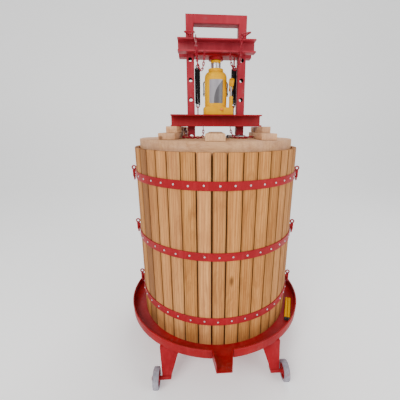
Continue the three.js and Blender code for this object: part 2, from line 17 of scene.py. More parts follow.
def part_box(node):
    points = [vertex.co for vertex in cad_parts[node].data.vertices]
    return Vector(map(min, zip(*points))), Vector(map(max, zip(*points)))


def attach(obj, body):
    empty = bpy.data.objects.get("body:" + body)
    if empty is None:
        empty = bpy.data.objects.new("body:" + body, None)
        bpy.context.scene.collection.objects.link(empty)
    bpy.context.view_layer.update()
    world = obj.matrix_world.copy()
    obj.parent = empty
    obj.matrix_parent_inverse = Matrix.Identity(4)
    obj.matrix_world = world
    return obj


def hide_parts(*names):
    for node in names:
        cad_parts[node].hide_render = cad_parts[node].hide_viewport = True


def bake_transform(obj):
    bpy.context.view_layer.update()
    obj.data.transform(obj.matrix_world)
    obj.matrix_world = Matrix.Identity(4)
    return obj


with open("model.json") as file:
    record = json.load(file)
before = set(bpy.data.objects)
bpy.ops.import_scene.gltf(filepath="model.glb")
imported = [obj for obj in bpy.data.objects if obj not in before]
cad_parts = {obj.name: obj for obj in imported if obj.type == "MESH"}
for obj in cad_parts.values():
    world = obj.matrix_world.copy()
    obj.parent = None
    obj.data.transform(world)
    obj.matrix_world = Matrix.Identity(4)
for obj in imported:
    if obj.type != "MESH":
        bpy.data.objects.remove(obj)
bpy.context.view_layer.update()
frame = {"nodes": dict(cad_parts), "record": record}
random.seed(11)

AXIS_Y = sum(corner.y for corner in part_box("yoke")) / 2
FLOOR = 0.030
TO_ROW = Vector((0, AXIS_Y, -FLOOR))
RIGHT, BACK, UP = Vector((1, 0, 0)), Vector((0, 1, 0)), Vector((0, 0, 1))
SIDES = (("left", -1), ("right", 1))


def cad(node):
    """A CAD node's box in press coordinates."""
    low, high = (corner - TO_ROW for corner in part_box(node))
    middle = (low + high) / 2
    return SimpleNamespace(x0=low.x, x1=high.x, y0=low.y, y1=high.y, z0=low.z, z1=high.z,
                           xm=middle.x, ym=middle.y, zm=middle.z)


# ---- Camera, light and floor ----
def add_object(name, data):
    """Makes an object from a mesh, a light or a camera, and links it into the scene."""
    made = bpy.data.objects.new(name, data)
    bpy.context.scene.collection.objects.link(made)
    return made


SENSOR = 36.0
FOCAL_PX = 254.57
IMAGE_PX = 400
CAMERA_AT = Vector((-0.115, -1.472, 1.2655)) + TO_ROW
CAMERA_DOWN = radians(15.68)
CAMERA_TURN = radians(4.0)
CAMERA_ROLL = radians(0.18)


def make_camera():
    data = bpy.data.cameras.new("camera")
    data.sensor_width = SENSOR
    data.lens = SENSOR * FOCAL_PX / IMAGE_PX
    data.shift_x = -0.0327
    camera = add_object("camera", data)
    aim = Matrix.Rotation(-CAMERA_TURN, 4, "Z") @ Matrix.Rotation(pi / 2 - CAMERA_DOWN, 4, "X")
    camera.matrix_world = Matrix.Translation(CAMERA_AT) @ aim @ Matrix.Rotation(CAMERA_ROLL, 4, "Z")
    bpy.context.scene.camera = camera


def make_light(name, location, target, size, power, color=(1, 1, 1)):
    data = bpy.data.lights.new(name, "AREA")
    data.size = size
    data.energy = power
    data.color = color
    light = add_object(name, data)
    light.location = location
    light.rotation_euler = (Vector(target) - Vector(location)).to_track_quat("-Z", "Y").to_euler()


def make_stage():
    mesh = bpy.data.meshes.new("floor")
    reach, bend, wall_y, wall_top, steps = 12, 2.0, 3.2, 7.0, 16
    turns = [pi / (2 * steps) * i for i in range(steps + 1)]
    profile = [(-reach, 0.0)]
    profile += [(wall_y + bend * sin(a), bend - bend * cos(a)) for a in turns]
    profile.append((wall_y + bend, wall_top))
    points = [(x, y, z) for y, z in profile for x in (-reach, reach)]
    faces = [(2 * i, 2 * i + 1, 2 * i + 3, 2 * i + 2) for i in range(len(profile) - 1)]
    mesh.from_pydata(points, [], faces)
    for polygon in mesh.polygons:
        polygon.use_smooth = True
    floor = add_object("floor", mesh)
    material = bpy.data.materials.new("floor")
    material.use_nodes = True
    shader = material.node_tree.nodes["Principled BSDF"]
    for key, value in (("Base Color", (0.92, 0.92, 0.92, 1)), ("Roughness", 0.9),
                       ("Emission Color", (1, 1, 1, 1)), ("Emission Strength", 0.22)):
        shader.inputs[key].default_value = value
    mesh.materials.append(material)
    world = bpy.data.worlds.new("studio")
    world.use_nodes = True
    backdrop = world.node_tree.nodes["Background"]
    backdrop.inputs["Color"].default_value = (1, 1, 1, 1)
    backdrop.inputs["Strength"].default_value = 0.75
    bpy.context.scene.world = world
    middle = (0, 0, 1.0)
    make_light("key", (-2.2, -3.6, 3.4), middle, 2.4, 165, (1, 0.985, 0.96))
    make_light("fill", (3.2, -3.0, 2.0), middle, 2.4, 90, (0.96, 0.98, 1))
    make_light("back", (0.8, 1.9, 4.6), middle, 2.0, 75)


make_camera()
make_stage()


# ---- Shader helpers ----
class Nodes:
    """A material under construction: short names for the nodes that the finishes share."""

    def __init__(self, name):
        self.material = bpy.data.materials.new(name)
        self.material.use_nodes = True
        self.tree = self.material.node_tree
        self.shader = self.tree.nodes["Principled BSDF"]

    def new(self, kind, **values):
        node = self.tree.nodes.new(kind)
        for key, value in values.items():
            setattr(node, key, value)
        return node

    def link(self, source, target):
        self.tree.links.new(source, target)

    def put(self, socket, value):
        """Sets a socket to a number or colour, or links it to another socket."""
        if isinstance(value, bpy.types.NodeSocket):
            self.link(value, socket)
        else:
            socket.default_value = value

    def coordinates(self, scale, attribute=None):
        if attribute:
            source = self.new("ShaderNodeAttribute", attribute_name=attribute).outputs["Vector"]
        else:
            source = self.new("ShaderNodeTexCoord").outputs["Object"]
        mapping = self.new("ShaderNodeMapping")
        self.link(source, mapping.inputs["Vector"])
        mapping.inputs["Scale"].default_value = scale
        return mapping.outputs["Vector"]

    def noise(self, vector, scale=1.0, detail=4.0, roughness=0.55, distortion=0.0):
        node = self.new("ShaderNodeTexNoise")
        self.link(vector, node.inputs["Vector"])
        for key, value in (("Scale", scale), ("Detail", detail), ("Roughness", roughness),
                           ("Distortion", distortion)):
            node.inputs[key].default_value = value
        return node.outputs["Fac"]

    def ramp(self, factor, *stops):
        """A colour ramp; each stop is (position, colour or grey value)."""
        node = self.new("ShaderNodeValToRGB")
        self.link(factor, node.inputs["Fac"])
        elements = node.color_ramp.elements
        while len(elements) < len(stops):
            elements.new(0.5)
        for element, (position, value) in zip(elements, stops):
            element.position = position
            element.color = (*value, 1) if isinstance(value, tuple) else (value, value, value, 1)
        return node.outputs["Color"]

    def mix(self, factor, first, second, blend="MIX"):
        node = self.new("ShaderNodeMix", data_type="RGBA", blend_type=blend)
        self.put(node.inputs["Factor"], factor)
        self.put(node.inputs["A"], (*first, 1) if isinstance(first, tuple) else first)
        self.put(node.inputs["B"], (*second, 1) if isinstance(second, tuple) else second)
        return node.outputs["Result"]

    def math(self, operation, first, second=0.0):
        node = self.new("ShaderNodeMath", operation=operation)
        self.put(node.inputs[0], first)
        self.put(node.inputs[1], second)
        return node.outputs[0]

    def times(self, first, second):
        return self.math("MULTIPLY", first, second)

    def bump(self, height, strength, distance, below=None):
        node = self.new("ShaderNodeBump")
        self.link(height, node.inputs["Height"])
        node.inputs["Strength"].default_value = strength
        node.inputs["Distance"].default_value = distance
        if below:
            self.link(below, node.inputs["Normal"])
        return node.outputs["Normal"]

    def finish(self, color, roughness, normal=None, **constants):
        self.put(self.shader.inputs["Base Color"], color)
        self.put(self.shader.inputs["Roughness"], roughness)
        if normal:
            self.link(normal, self.shader.inputs["Normal"])
        for key, value in constants.items():
            self.shader.inputs[key.replace("_", " ")].default_value = value
        return self.material


# ---- Materials ----
def lighter(color, factor, lift):
    return tuple(min(1, c * factor + lift) for c in color)


def painted(name, color, dark, scuff, scuff_share, gloss, coat=0.25, dust=0.0, shine=0.14):
    """Enamel over steel: cloudy tone, orange peel, scuffs through to primer, dust on what faces up."""
    n = Nodes(name)
    base = n.coordinates((1, 1, 1))
    cloud = n.noise(base, 5, 5, 0.6)
    tone = n.mix(n.ramp(cloud, (0.35, 0.0), (0.68, 1.0)), dark, color)
    streak = n.noise(n.coordinates((14, 14, 2.2)), 4, 4, 0.6)
    tone = n.mix(n.ramp(streak, (0.5, 0.0), (0.8, 0.45)), tone, lighter(color, 1.3, 0.02))
    chips = n.times(n.ramp(n.noise(base, 70, 6, 0.7), (0.5, 0.0), (0.62, 1.0)),
                    n.ramp(n.noise(base, 9, 4, 0.6), (0.6 - scuff_share, 0.0), (0.72 - scuff_share, 1.0)))
    tone = n.mix(chips, tone, scuff)
    if dust:
        facing = n.new("ShaderNodeSeparateXYZ")
        n.link(n.new("ShaderNodeNewGeometry").outputs["Normal"], facing.inputs[0])
        up = n.ramp(facing.outputs["Z"], (0.55, 0.0), (1.0, dust))
        settled = n.times(up, n.ramp(n.noise(base, 22, 5, 0.65), (0.35, 0.2), (0.7, 1.0)))
        tone = n.mix(settled, tone, (0.6, 0.4, 0.34))
    rough = n.ramp(n.noise(base, 30, 4, 0.6), (0.3, gloss), (0.75, gloss + 0.18))
    peel = n.bump(n.noise(base, 420, 2, 0.5), 0.12, 0.0006)
    dents = n.bump(n.noise(base, 7, 2, 0.5), 0.08, 0.01, peel)
    return n.finish(tone, rough, dents, Coat_Weight=coat, Coat_Roughness=0.2, Specular_IOR_Level=shine)


def oak(name, light, middle, dark, dirt=0.0, rosy_share=0.0, ringed=0.42):
    """Oak with its grain along the plank's own length, from the mesh attributes grain and tone.

    The parts of tone are the plank's own shade of brown, its pinkness, and a painted shade that darkens the
    wood in the joints between staves.
    """
    n = Nodes(name)
    rosy = (0.6, 0.38, 0.3)
    along = n.noise(n.coordinates((46, 46, 1.5), "grain"), 1, 5, 0.62, 0.6)
    rings = n.new("ShaderNodeTexWave", wave_type="BANDS", bands_direction="X")
    n.link(n.coordinates((1, 0.6, 0.055), "grain"), rings.inputs["Vector"])
    for key, value in (("Scale", 26.0), ("Distortion", 9.0), ("Detail", 3.0), ("Detail Scale", 1.3)):
        rings.inputs[key].default_value = value
    fibre = n.noise(n.coordinates((620, 620, 11), "grain"), 1, 3, 0.6)
    pores = n.ramp(n.noise(n.coordinates((900, 900, 38), "grain"), 1, 2, 0.5), (0.62, 0.0), (0.7, 1.0))
    color = n.mix(n.ramp(along, (0.3, 0.0), (0.7, 1.0)), light, middle)
    ring = n.ramp(rings.outputs["Fac"], (0.55, 0.0), (0.95, 1.0))
    color = n.mix(n.times(ring, ringed), color, dark)
    color = n.mix(n.times(n.ramp(fibre, (0.42, 0.0), (0.7, 1.0)), 0.45), color, dark)
    clouds = n.noise(n.coordinates((16, 16, 5), "grain"), 1, 5, 0.65, 0.8)
    color = n.mix(n.ramp(clouds, (0.48, 0.0), (0.72, 0.5)), color, dark)
    color = n.mix(n.times(pores, 0.35), color, tuple(c * 0.55 for c in dark))
    tone = n.new("ShaderNodeAttribute", attribute_name="tone")
    split = n.new("ShaderNodeSeparateXYZ")
    n.link(tone.outputs["Vector"], split.inputs[0])
    shade = n.ramp(split.outputs["X"], (0.0, (0.5, 0.44, 0.4)), (0.5, (0.94, 0.9, 0.86)),
                   (1.0, (1.3, 1.28, 1.24)))
    color = n.mix(1.0, color, shade, "MULTIPLY")
    color = n.mix(n.times(split.outputs["Y"], 0.75), color, rosy)
    # Painted shade: the third part of tone darkens the wood nearly to black in the joints between staves.
    color = n.mix(n.times(split.outputs["Z"], 0.9), color, tuple(c * 0.3 for c in dark))
    if rosy_share:
        stain_and_gap_shade = n.ramp(n.noise(n.coordinates((9, 9, 4), "grain"), 1, 3, 0.6), (0.45, 0.0), (0.75, rosy_share))
        color = n.mix(stain_and_gap_shade, color, rosy)
    knots = n.new("ShaderNodeTexVoronoi", feature="F1")
    n.link(n.coordinates((9, 9, 3.4), "grain"), knots.inputs["Vector"])
    knots.inputs["Scale"].default_value = 1.0
    knot = n.ramp(knots.outputs["Distance"], (0.05, 1.0), (0.12, 0.0))
    color = n.mix(n.times(knot, 0.75), color, tuple(c * 0.4 for c in dark))
    if dirt:
        grime = n.ramp(n.noise(n.coordinates((1, 1, 1)), 6, 6, 0.65), (0.45, 0.0), (0.8, dirt))
        color = n.mix(grime, color, tuple(c * 0.6 for c in dark))
    height = n.mix(0.5, fibre, n.mix(0.5, along, pores))
    normal = n.bump(height, 0.35, 0.0012)
    rough = n.ramp(fibre, (0.2, 0.52), (0.8, 0.74))
    return n.finish(color, rough, normal, Specular_IOR_Level=0.08)


def steel(name, color, rough, metallic=1.0):
    """Bare or plated steel: fine turning marks, patchy sheen, a few stained patches."""
    n = Nodes(name)
    base = n.coordinates((1, 1, 1))
    patches = n.noise(base, 45, 5, 0.65)
    tone = n.mix(n.ramp(patches, (0.4, 0.0), (0.75, 0.4)), color, (0.35, 0.3, 0.26))
    marks = n.noise(n.coordinates((60, 60, 900)), 1, 3, 0.6)
    roughness = n.ramp(patches, (0.3, rough), (0.8, rough + 0.22))
    return n.finish(tone, roughness, n.bump(marks, 0.15, 0.0003), Metallic=metallic)


def worn_rubber(name):
    """Grey tread of a cellar wheel: chalky rubber with red specks of paint and dark scuffs."""
    n = Nodes(name)
    base = n.coordinates((1, 1, 1))
    chalk = n.ramp(n.noise(base, 26, 6, 0.7), (0.35, 0.0), (0.65, 1.0))
    tone = n.mix(chalk, (0.2, 0.19, 0.225), (0.4, 0.38, 0.44))
    specks = n.times(n.ramp(n.noise(base, 120, 3, 0.6), (0.6, 0.0), (0.66, 1.0)),
                     n.ramp(n.noise(base, 14, 3, 0.5), (0.5, 0.0), (0.6, 1.0)))
    tone = n.mix(specks, tone, (0.36, 0.07, 0.08))
    scuffs = n.ramp(n.noise(n.coordinates((30, 8, 8)), 3, 5, 0.7), (0.58, 0.0), (0.72, 0.7))
    tone = n.mix(scuffs, tone, (0.13, 0.12, 0.14))
    return n.finish(tone, 0.85, n.bump(n.noise(base, 160, 5, 0.7), 0.5, 0.0012))


def moulded(name, color, rough=0.45, grain=300, fleck=0.25, shine=0.5):
    """Moulded plastic or rubber with a fine grain."""
    n = Nodes(name)
    base = n.coordinates((1, 1, 1))
    tone = n.mix(n.ramp(n.noise(base, 40, 4, 0.6), (0.35, 0.0), (0.75, fleck)), color,
                 lighter(color, 1.8, 0.03))
    return n.finish(tone, n.ramp(n.noise(base, 60, 3, 0.5), (0.3, rough), (0.7, rough + 0.15)),
                    n.bump(n.noise(base, grain, 3, 0.6), 0.25, 0.0004), Specular_IOR_Level=shine)


def label_print(name, low, high):
    """The jack's panel: grey, with a darker sweep up its right side."""
    n = Nodes(name)
    place = n.new("ShaderNodeSeparateXYZ")
    n.link(n.new("ShaderNodeTexCoord").outputs["Object"], place.inputs[0])
    shares = []
    for axis, start, end in (("X", low.x, high.x), ("Z", low.z, high.z)):
        share = n.new("ShaderNodeMapRange")
        n.link(place.outputs[axis], share.inputs["Value"])
        share.inputs["From Min"].default_value = start
        share.inputs["From Max"].default_value = end
        shares.append(share.outputs["Result"])
    across, up = shares
    edge = n.times(n.math("POWER", up, 2.4), 0.7)
    side = n.math("SUBTRACT", n.math("SUBTRACT", across, 0.32), edge)
    sweep = n.ramp(n.math("ADD", side, 0.5), (0.49, 0.0), (0.51, 1.0))
    mottled = n.noise(n.coordinates((1, 1, 1)), 55, 3, 0.6)
    light = n.mix(mottled, (0.24, 0.225, 0.25), (0.3, 0.285, 0.31))
    dark = n.mix(mottled, (0.06, 0.056, 0.064), (0.09, 0.084, 0.092))
    return n.finish(n.mix(sweep, light, dark), 0.4, n.bump(mottled, 0.06, 0.0004), Coat_Weight=0.15)


RED = painted("red_paint", (0.32, 0.005, 0.011), (0.24, 0.003, 0.007), (0.15, 0.015, 0.015),
              0.03, 0.38, 0.02, 0.03)
TRAY_RED = painted("tray_red_paint", (0.32, 0.002, 0.005), (0.21, 0.001, 0.004), (0.22, 0.05, 0.04),
                   0.05, 0.3, 0.05, 0.03)
FADED_RED = painted("faded_red_paint", (0.335, 0.022, 0.036), (0.27, 0.013, 0.023), (0.25, 0.06, 0.07),
                    0.03, 0.42, 0.03)
CHAIN_RED = painted("chain_red_paint", (0.3, 0.008, 0.022), (0.16, 0.004, 0.01), (0.34, 0.22, 0.22),
                    0.12, 0.38, 0.04)
YELLOW = painted("yellow_paint", (0.8, 0.42, 0.0), (0.66, 0.31, 0.0), (0.5, 0.3, 0.06),
                 0.0, 0.45, 0.0, shine=0.05)
STAVE_OAK = oak("stave_oak", (0.64, 0.31, 0.095), (0.44, 0.18, 0.048), (0.2, 0.065, 0.016))
PLANK_OAK = oak("plank_oak", (0.72, 0.45, 0.25), (0.56, 0.31, 0.15), (0.3, 0.13, 0.06), 0.2,
                rosy_share=0.35, ringed=0.22)
STEEL = steel("plated_steel", (0.5, 0.48, 0.49), 0.24)
RIVET_STEEL = steel("rivet_steel", (0.6, 0.57, 0.58), 0.34, 0.85)
SPRING_BLACK = moulded("spring_black", (0.006, 0.006, 0.007), 0.5, 400, 0.15, 0.12)
MILL_SCALE = moulded("mill_scale", (0.012, 0.01, 0.011), 0.7, 200, 0.3, 0.1)
TYRE_RUBBER = worn_rubber("wheel_rubber")
BLACK_PLASTIC = moulded("black_plastic", (0.015, 0.015, 0.018))
ORANGE_PLASTIC = moulded("orange_plastic", (0.75, 0.16, 0.035), 0.3, 200)


# ---- Mesh helpers ----
BEVEL_ANGLE = radians(35)
SHARP_ANGLE = radians(38)


class Shape:
    """Closed solids in press coordinates, with the wood's grain direction and tone for each."""

    def __init__(self):
        self.points = []
        self.faces = []
        self.grain = []
        self.tone = []

    def add(self, points, faces, grain=None, tone=(0.5, 0, 0)):
        first = len(self.points)
        self.points += [Vector(p) for p in points]
        self.faces += [tuple(first + i for i in face) for face in faces]
        self.grain += grain or [Vector(p) for p in points]
        self.tone += tone if isinstance(tone, list) else [Vector(tone)] * len(points)
        return self

    def add_rings(self, rings, closed=False, **marks):
        """Skins a list of rings of points that all have the same count."""
        count = len(rings[0])
        points = [p for ring in rings for p in ring]
        faces = []
        for i in range(len(rings) if closed else len(rings) - 1):
            a, b = i * count, ((i + 1) % len(rings)) * count
            faces += [(a + j, a + (j + 1) % count, b + (j + 1) % count, b + j) for j in range(count)]
        if not closed:
            faces.append(tuple(reversed(range(count))))
            faces.append(tuple(range(len(points) - count, len(points))))
        return self.add(points, faces, **marks)


def circle(centre, first, second, radius, sides):
    turns = [2 * pi * i / sides for i in range(sides)]
    return [centre + first * (radius * cos(a)) + second * (radius * sin(a)) for a in turns]


def square_to(axis):
    axis = axis.normalized()
    other = RIGHT if abs(axis.x) < 0.8 else BACK
    first = axis.cross(other).normalized()
    return first, axis.cross(first).normalized()


def lathe(shape, profile, centre=(0, 0, 0), axis=UP, sides=48, closed=False):
    """Turns (radius, distance along the axis) points; the ends close on flat caps."""
    centre = Vector(centre)
    first, second = square_to(axis)
    rings = [circle(centre + axis * h, first, second, max(r, 1e-5), sides) for r, h in profile]
    return shape.add_rings(rings, closed=closed)


def rod(shape, start, end, radius, sides):
    """A round bar with small rounded arrises at its ends."""
    ease = 0.12
    start, end = Vector(start), Vector(end)
    axis = (end - start).normalized()
    length = (end - start).length
    edge = min(radius * ease, length / 3)
    profile = [(radius - edge, 0), (radius - edge * 0.3, edge * 0.3), (radius, edge)]
    profile += [(r, length - h) for r, h in reversed(profile)]
    return lathe(shape, profile, start, axis, sides)


def smooth_path(points, steps):
    """Catmull-Rom points through a list of places."""
    points = [Vector(p) for p in points]
    count = len(points)
    path = []
    for i in range(count - 1):
        a, b, c, d = (points[min(max(i + k, 0), count - 1)] for k in (-1, 0, 1, 2))
        for k in range(steps):
            t = k / steps
            path.append(0.5 * (2 * b + (c - a) * t + (2 * a - 5 * b + 4 * c - d) * t * t
                               + (3 * b - a - 3 * c + d) * t ** 3))
    path.append(points[-1])
    return path


def mirrored(points):
    """The same places on the other side of x = 0, in the opposite order."""
    return [(-p[0], *p[1:]) for p in reversed(points)]


def bent_rod(shape, path, radius, sides=12, closed=False):
    """A round wire along a path, with a frame that doesn't twist."""
    rings = []
    count = len(path)
    first = None
    for i, place in enumerate(path):
        ahead = path[(i + 1) % count] if closed or i < count - 1 else path[i]
        behind = path[i - 1] if closed or i > 0 else path[i]
        along = (ahead - behind).normalized()
        if first is None:
            first, second = square_to(along)
        first = (first - along * first.dot(along)).normalized()
        second = along.cross(first)
        rings.append(circle(place, first, second, radius, sides))
    return shape.add_rings(rings, closed=closed)


def torus(shape, centre, axis, radius, wire, sides=32, section=10):
    first, second = square_to(Vector(axis))
    path = circle(Vector(centre), first, second, radius, sides)
    return bent_rod(shape, path, wire, section, closed=True)


def plank_marks(points, along, across, origin):
    """Grain coordinates of a plank: across, through and along it, with an offset of its own."""
    shift = Vector((random.uniform(-3, 3), random.uniform(-3, 3), random.uniform(-3, 3)))
    through = along.cross(across)
    return [Vector(((p - origin).dot(across), (p - origin).dot(through), (p - origin).dot(along))) + shift
            for p in points]


def prism(shape, outline, z0, z1, **marks):
    """A flat outline, raised between two heights."""
    lower = [Vector((x, y, z0)) for x, y in outline]
    upper = [Vector((x, y, z1)) for x, y in outline]
    return shape.add_rings([lower, upper], **marks)


def cuboid(shape, x0, x1, y0, y1, z0, z1):
    return prism(shape, [(x0, y0), (x1, y0), (x1, y1), (x0, y1)], z0, z1)


def piece(name, shape, material, body, nodes=(), bevel=0.0, turn=None, segments=2):
    """Makes a mesh piece from a Shape or a bmesh and lets it ride on a body in place of CAD nodes."""
    mesh = bpy.data.meshes.new(name)
    if isinstance(shape, Shape):
        mesh.from_pydata(shape.points, [], shape.faces)
        for label, values in (("grain", shape.grain), ("tone", shape.tone)):
            layer = mesh.attributes.new(label, "FLOAT_VECTOR", "POINT")
            layer.data.foreach_set("vector", [c for v in values for c in v])
        bm = bmesh.new()
        bm.from_mesh(mesh)
    else:
        bm = shape
    if turn:
        bmesh.ops.transform(bm, matrix=turn, verts=bm.verts)
    bmesh.ops.transform(bm, matrix=Matrix.Translation(TO_ROW), verts=bm.verts)
    if bevel:
        edges = [e for e in bm.edges if len(e.link_faces) == 2 and e.calc_face_angle(0) > BEVEL_ANGLE]
        bmesh.ops.bevel(bm, geom=edges, offset=bevel, segments=segments, profile=0.6, affect="EDGES",
                        clamp_overlap=True)
    bmesh.ops.recalc_face_normals(bm, faces=bm.faces)
    bm.to_mesh(mesh)
    bm.free()
    for polygon in mesh.polygons:
        polygon.use_smooth = True
    mesh.set_sharp_from_angle(angle=SHARP_ANGLE)
    mesh.materials.append(material)
    made = add_object(name, mesh)
    if body:
        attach(made, body)
    if nodes:
        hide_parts(*nodes)
    return made


def turned(name, profile, material, body, nodes=(), centre=(0, 0, 0), axis=UP, sides=72, closed=False,
           turn=None):
    """A piece that is one turned solid."""
    shape = Shape()
    lathe(shape, profile, centre, axis, sides, closed)
    piece(name, shape, material, body, nodes, turn=turn)


def body_of_node(node):
    for name, members in frame["record"]["behaviour"]["bodies"].items():
        if node in members:
            return name
    raise KeyError(node)


def refined(node, material, bevel, segments=2):
    """A piece with a CAD node's own shape, whose sharp edges are rolled as on the real steel."""
    bm = bmesh.new()
    bm.from_mesh(frame["nodes"][node].data)
    bmesh.ops.remove_doubles(bm, verts=bm.verts, dist=1e-5)
    bmesh.ops.dissolve_limit(bm, angle_limit=radians(0.5), verts=bm.verts, edges=bm.edges)
    many_sided = 12
    bmesh.ops.triangulate(bm, faces=[f for f in bm.faces if len(f.verts) > many_sided])
    bmesh.ops.transform(bm, matrix=Matrix.Translation(-TO_ROW), verts=bm.verts)
    piece(f"{node}_finished", bm, material, body_of_node(node), [node], bevel, segments=segments)


# ---- Basket ----
PER_HALF = 21
FULL_STAVES = 16
FULL_PITCH = radians(141) / FULL_STAVES
TURN_TO_SIDE = Matrix.Rotation(radians(-4.5), 4, "Z")
BASKET = SimpleNamespace(outer=0.440, inner=0.420, z0=cad("basket_front").z0, z1=cad("basket_front").z1)
LATCH_X = hypot(cad("latch_pin_top_right").xm, cad("latch_pin_top_right").ym)
HOOP_RADII = (0.4407, 0.4447)
HOOP_HEIGHT = cad("hoop_top_front").z1 - cad("hoop_top_front").z0
HOOP_Z = {
    "top": cad("hoop_top_front").zm,
    "middle": cad("latch_pin_middle_left").z0 + cad("hoop_top_front").zm - cad("latch_pin_top_left").z0,
    "bottom": cad("hoop_bottom_front").zm,
}
HALVES = (("front", 0.0), ("rear", pi))


def around(radius, angle, z=0.0):
    """A point at an angle from the front, turning towards +X."""
    return Vector((radius * sin(angle), -radius * cos(angle), z))


def stave_joints(half, middle):
    """The angles of a half's joints. The front one is closed with a few staves ripped narrower."""
    start = middle - pi / 2
    if half == "rear":
        pitches = [pi / PER_HALF] * PER_HALF
    else:
        narrow = (pi - FULL_PITCH * FULL_STAVES) / (PER_HALF - FULL_STAVES)
        pitches = [FULL_PITCH] * FULL_STAVES + [narrow] * (PER_HALF - FULL_STAVES)
    joints = [start]
    for pitch in pitches:
        joints.append(joints[-1] + pitch)
    inner = [a + radians(random.uniform(-0.3, 0.3)) for a in joints[1:-1]]
    return [joints[0]] + inner + [joints[-1]]


def add_stave(shape, from_angle, to_angle, gap):
    """One plank of the basket: slightly crowned outside, planed flat inside, eased arrises."""
    angle = (from_angle + to_angle) / 2
    half = BASKET.outer * (to_angle - from_angle) / 2 - gap / 2
    along, across, outward = UP, around(1, angle + pi / 2), around(1, angle)
    ease = 0.0016
    outer, inner = BASKET.outer - 0.0002, BASKET.inner
    crown, taper = 0.0012, 0.0012
    right = [(half * 0.5, outer - 0.0003), (half - ease, outer - crown), (half, outer - crown - ease),
             (half - taper, inner + ease), (half - taper - ease, inner)]
    left = mirrored(right)
    section = left[3:] + [(0, outer)] + right + left[:3]
    middle = (outer + inner) / 2
    top = BASKET.z1 - random.uniform(0, 0.0015)
    rings = []
    for z, shrink in ((BASKET.z0, ease), (BASKET.z0 + ease, 0), (BASKET.z0 + 0.3, 0), (BASKET.z0 + 0.6, 0),
                      (top - ease, 0), (top, ease)):
        ring = []
        for s, r in section:
            s_in = s - copysign(min(abs(s), shrink), s)
            r_in = r + (middle - r) * shrink / 0.01
            ring.append(outward * r_in + across * s_in + UP * z)
        rings.append(ring)
    points = [p for ring in rings for p in ring]
    grain = plank_marks(points, along, across, outward * middle)
    shade = min(0.95, max(0.05, random.gauss(0.5, 0.22)))
    rosy = min(0.12, max(0.0, random.gauss(0.03, 0.06)))
    # Painted shade in the joints: a little on the outer arrises, fully on the side faces next to the
    # neighbouring stave.
    gap_shade = [0.3 if abs(s) > half - 2 * ease and r > middle else 0.0 for s, r in section]
    gap_shade = [1.0 if abs(s) > half - 0.0011 else stain_and_gap_shade for stain_and_gap_shade, (s, r) in zip(gap_shade, section)]
    tone = [Vector((shade, rosy, stain_and_gap_shade)) for stain_and_gap_shade in gap_shade] * len(rings)
    shape.add_rings(rings, grain=grain, tone=tone)


def add_hoop(shape, angle_from, angle_to, z):
    """A steel band with rolled edges, in short steps round the basket."""
    inner, outer = HOOP_RADII
    ease = 0.0011
    half = HOOP_HEIGHT / 2
    section = [(inner, -half), (outer - ease, -half), (outer, -half + ease), (outer, half - ease),
               (outer - ease, half), (inner, half)]
    steps = PER_HALF * 4
    rings = []
    for i in range(steps + 1):
        a = angle_from + (angle_to - angle_from) * i / steps
        rings.append([around(r, a, z + h) for r, h in section])
    shape.add_rings(rings)


def add_rivet(shape, angle, z):
    """A domed head with a small washer under it."""
    out = around(1, angle)
    profile = [(0.0046, -0.0006), (0.0046, 0.0006), (0.004, 0.0009), (0.0038, 0.0016), (0.0031, 0.0026),
               (0.002, 0.0033), (0.0007, 0.0036)]
    lathe(shape, profile, around(HOOP_RADII[1], angle, z), out, 14)


def knuckle_piece(half, level, side):
    """The welded strap and barrel that a latch pin goes through."""
    zc = HOOP_Z[level]
    front = half == "front"
    z0, z1 = (zc - 0.018, zc - 0.001) if front else (zc - 0.040, zc - 0.0185)
    shape = Shape()
    x = side * LATCH_X
    bore, wall = 0.0058, 0.009
    tall, edge = z1 - z0, 0.001
    lathe(shape, [(bore, 0), (wall - edge, 0), (wall, edge), (wall, tall - edge), (wall - edge, tall),
                  (bore, tall)], (x, 0, z0), UP, 28, closed=True)
    y0, y1 = (-0.0105, -0.0055) if front else (0.0055, 0.0105)
    root = side * (HOOP_RADII[1] - 0.002)
    tip = x - side * 0.003
    cuboid(shape, min(root, tip), max(root, tip), y0, y1, z0 + 0.0005, z1 - 0.0005)
    if not front:
        edge = side * (HOOP_RADII[1] + 0.0024)
        root = side * (HOOP_RADII[1] - 0.0036)
        cuboid(shape, min(root, edge), max(root, edge), 0.004, 0.040, z0, zc + HOOP_HEIGHT / 2)
    piece(f"knuckle_{half}_{level}_{'left' if side < 0 else 'right'}", shape, RED, f"basket_{half}",
          bevel=0.0007, turn=TURN_TO_SIDE)


def make_basket_half(half, middle):
    body = f"basket_{half}"
    joints = stave_joints(half, middle)
    centres = [(a + b) / 2 for a, b in zip(joints, joints[1:])]
    staves = Shape()
    for i, (a, b) in enumerate(zip(joints, joints[1:])):
        shy = 0.003 if half == "front" and i in (9, 10) else 0.0
        add_stave(staves, a, b, random.uniform(0.003, 0.0045) + shy)
    piece(f"staves_{half}", staves, STAVE_OAK, body, [f"basket_{half}"], turn=TURN_TO_SIDE)
    trim = 0.003 / HOOP_RADII[1]
    for level, z in HOOP_Z.items():
        band = Shape()
        add_hoop(band, middle - pi / 2 + trim, middle + pi / 2 - trim, z)
        replaced = [] if level == "middle" else [f"hoop_{level}_{half}"]
        piece(f"hoop_band_{level}_{half}", band, RED, body, replaced, turn=TURN_TO_SIDE)
        rivets = Shape()
        for angle in centres:
            add_rivet(rivets, angle + random.uniform(-0.006, 0.006), z + random.uniform(-0.0022, 0.0022))
        piece(f"rivets_{level}_{half}", rivets, RIVET_STEEL, body, turn=TURN_TO_SIDE)
        for _, side in SIDES:
            knuckle_piece(half, level, side)


